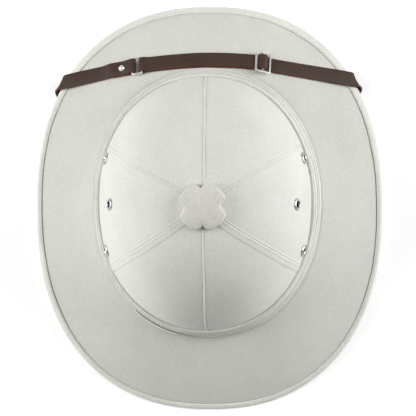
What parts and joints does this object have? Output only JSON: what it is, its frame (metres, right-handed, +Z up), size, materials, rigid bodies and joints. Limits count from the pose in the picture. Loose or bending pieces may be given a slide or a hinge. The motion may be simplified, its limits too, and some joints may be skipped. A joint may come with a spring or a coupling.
{
  "type": "pith helmet",
  "caption": "Cloth-covered sun helmet with a panelled crown, vent eyelets, pleated band, lobed button and a leather chin strap carried over the front of its sloping brim.",
  "frame": {"origin": "on the surface the hat rests on, below the middle of the brim outline", "axes": "+Z up, +Y to the front of the hat, where the chin strap is carried, +X to the right in a view from above with the front at the top"},
  "size_m": [0.2924, 0.3421, 0.151],
  "materials": {
    "cloth": "fine plain-woven cotton drill, matte",
    "trim_cloth": "the same cotton, pleated and bound",
    "leather": "smooth dark brown strap leather with red-brown cut edges",
    "nickel": "bright nickel plate"
  },
  "bodies": {
    "root": {"crown_panel_right_front": "cloth", "crown_panel_left_front": "cloth", "crown_panel_left": "cloth", "crown_panel_left_back": "cloth", "crown_panel_right_back": "cloth", "crown_panel_right": "cloth", "eyelet_left_front": "nickel", "eyelet_left_middle": "nickel", "eyelet_left_back": "nickel", "eyelet_right_front": "nickel", "eyelet_right_middle": "nickel", "eyelet_right_back": "nickel", "brim": "cloth", "brim_binding": "trim_cloth", "hat_band": "trim_cloth", "crown_button": "cloth", "button_post": "nickel", "strap_left": "leather", "strap_right": "leather", "strap_ring": "nickel", "strap_slider": "nickel", "strap_rivet": "nickel", "strap_stud_left": "nickel", "strap_stud_right": "nickel"}
  },
  "joints": []
}
